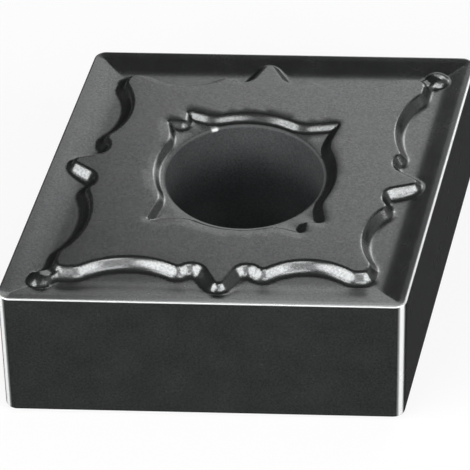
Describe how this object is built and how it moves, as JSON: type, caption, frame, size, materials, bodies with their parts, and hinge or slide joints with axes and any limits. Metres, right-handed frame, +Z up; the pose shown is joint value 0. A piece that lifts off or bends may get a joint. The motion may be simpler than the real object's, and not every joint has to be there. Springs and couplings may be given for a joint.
{
  "type": "turning insert",
  "caption": "Rhombic turning insert with 80 degree corners, a moulded chip breaker on both faces and a central clamping bore.",
  "frame": {"origin": "centre of the body: on the bore axis, halfway between the two seats", "axes": "+Z up along the bore axis; +X along the front cutting edge, from its acute corner at the left to its obtuse corner at the right; +Y from the front cutting edge to the back one"},
  "size_m": [0.015, 0.0126, 0.005],
  "materials": {
    "coated_carbide": "dark grey wear coating over fine sintered grain, satin, lightly rubbed on the honed edges"
  },
  "bodies": {
    "root": {"insert_body": "coated_carbide"}
  },
  "joints": []
}
